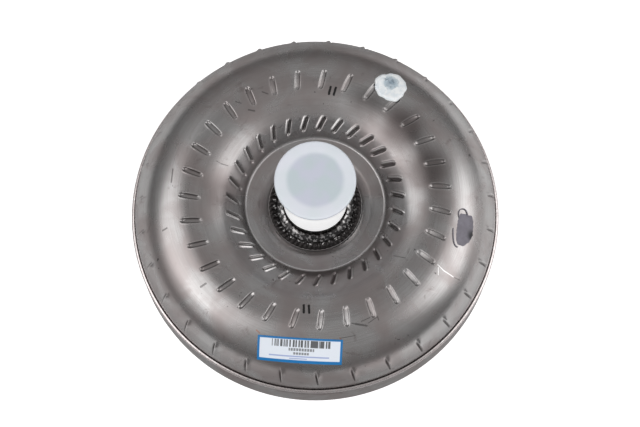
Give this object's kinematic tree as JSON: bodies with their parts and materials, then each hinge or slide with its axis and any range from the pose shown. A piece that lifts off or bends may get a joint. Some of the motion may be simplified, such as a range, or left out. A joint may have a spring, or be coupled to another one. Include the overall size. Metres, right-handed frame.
{
  "type": "torque converter",
  "caption": "Round welded steel torque converter with a half-torus pump shell, a capped pump hub, a label, mounting lugs and a crank pilot; turbine, stator and lock-up clutch inside.",
  "frame": {"origin": "on the converter's axis, in the plane of the crank pilot's end face, its lowest point", "axes": "+Z along the axis, from the engine side towards the pump hub; +X to the right and +Y away from a viewer who has the label nearest"},
  "size_m": [0.3, 0.3, 0.1537],
  "materials": {
    "pressed_steel": "bare pressed steel, oiled",
    "machined_steel": "turned bare steel",
    "weld_bead": "dark rippled weld",
    "spring_steel": "drawn spring steel",
    "cast_aluminium": "die cast",
    "friction_paper": "bonded friction paper",
    "seal_rubber": "matte",
    "nylon": "moulded",
    "cap_polyethylene": "milky, satin",
    "label_vinyl": "printed label",
    "sealant": "set sealant"
  },
  "bodies": {
    "housing": {"front_cover": "pressed_steel", "crank_pilot": "machined_steel", "pilot_weld": "weld_bead", "mounting_lug_1": "machined_steel", "mounting_lug_2": "machined_steel", "mounting_lug_3": "machined_steel", "balance_weight_1": "machined_steel", "balance_weight_2": "machined_steel", "impeller_shell": "pressed_steel", "closure_weld": "weld_bead", "impeller_hub": "machined_steel", "hub_weld": "weld_bead", "impeller_blades": "pressed_steel", "information_label": "label_vinyl", "sealing_patch": "sealant", "rear_bearing_race": "machined_steel"},
    "cap": {"shipping_cap": "cap_polyethylene"},
    "turbine": {"turbine_shell": "pressed_steel", "turbine_blades": "pressed_steel", "turbine_hub": "machined_steel", "damper_driven_plate": "pressed_steel", "turbine_rivet_1": "machined_steel", "turbine_rivet_2": "machined_steel", "turbine_rivet_3": "machined_steel", "turbine_rivet_4": "machined_steel", "turbine_rivet_5": "machined_steel", "turbine_rivet_6": "machined_steel", "turbine_thrust_washer": "nylon", "front_bearing_race": "machined_steel"},
    "damper": {"damper_drive_plate": "pressed_steel", "damper_spring_1": "spring_steel", "damper_spring_2": "spring_steel", "damper_spring_3": "spring_steel", "damper_spring_4": "spring_steel", "damper_spring_5": "spring_steel", "damper_spring_6": "spring_steel"},
    "piston": {"lockup_piston": "pressed_steel", "friction_lining": "friction_paper", "piston_seal": "seal_rubber"},
    "inner_race": {"clutch_inner_race": "machined_steel"},
    "stator": {"stator_wheel": "cast_aluminium", "clutch_cam_race": "machined_steel", "clutch_roller_1": "machined_steel", "clutch_roller_2": "machined_steel", "clutch_roller_3": "machined_steel", "clutch_roller_4": "machined_steel", "clutch_roller_5": "machined_steel", "clutch_roller_6": "machined_steel", "clutch_roller_7": "machined_steel", "clutch_roller_8": "machined_steel", "clutch_spring_cage": "spring_steel", "stator_front_cap": "machined_steel", "stator_rear_cap": "machined_steel"},
    "front_bearing": {"front_needle_cage": "machined_steel"},
    "rear_bearing": {"rear_needle_cage": "machined_steel"}
  },
  "joints": [
    {"name": "cap_lift", "type": "slide", "parent": "housing", "child": "cap", "axis": [0, 0, 1], "range_m": [0, 0.06]},
    {"name": "turbine_spin", "type": "hinge", "parent": "housing", "child": "turbine", "pos_m": [0, 0, 0.06], "axis": [0, 0, 1], "continuous": true},
    {"name": "damper_twist", "type": "hinge", "parent": "turbine", "child": "damper", "pos_m": [0, 0, 0.04], "axis": [0, 0, 1], "range_deg": [-8, 8], "stiffness_Nm_per_rad": 40, "deforming": ["damper_spring_1", "damper_spring_2", "damper_spring_3", "damper_spring_4", "damper_spring_5", "damper_spring_6"]},
    {"name": "piston_slide", "type": "slide", "parent": "damper", "child": "piston", "axis": [0, 0, 1], "range_m": [0, 0.0008]},
    {"name": "inner_race_spin", "type": "hinge", "parent": "housing", "child": "inner_race", "pos_m": [0, 0, 0.068], "axis": [0, 0, 1], "continuous": true},
    {"name": "stator_spin", "type": "hinge", "parent": "inner_race", "child": "stator", "pos_m": [0, 0, 0.07], "axis": [0, 0, 1], "continuous": true},
    {"name": "front_bearing_spin", "type": "hinge", "parent": "housing", "child": "front_bearing", "pos_m": [0, 0, 0.059], "axis": [0, 0, 1], "continuous": true},
    {"name": "rear_bearing_spin", "type": "hinge", "parent": "housing", "child": "rear_bearing", "pos_m": [0, 0, 0.076], "axis": [0, 0, 1], "continuous": true}
  ],
  "couplings": [
    {"joint": "front_bearing_spin", "follows": "turbine_spin", "ratio": 0.5},
    {"joint": "rear_bearing_spin", "follows": "inner_race_spin", "ratio": 0.5}
  ]
}
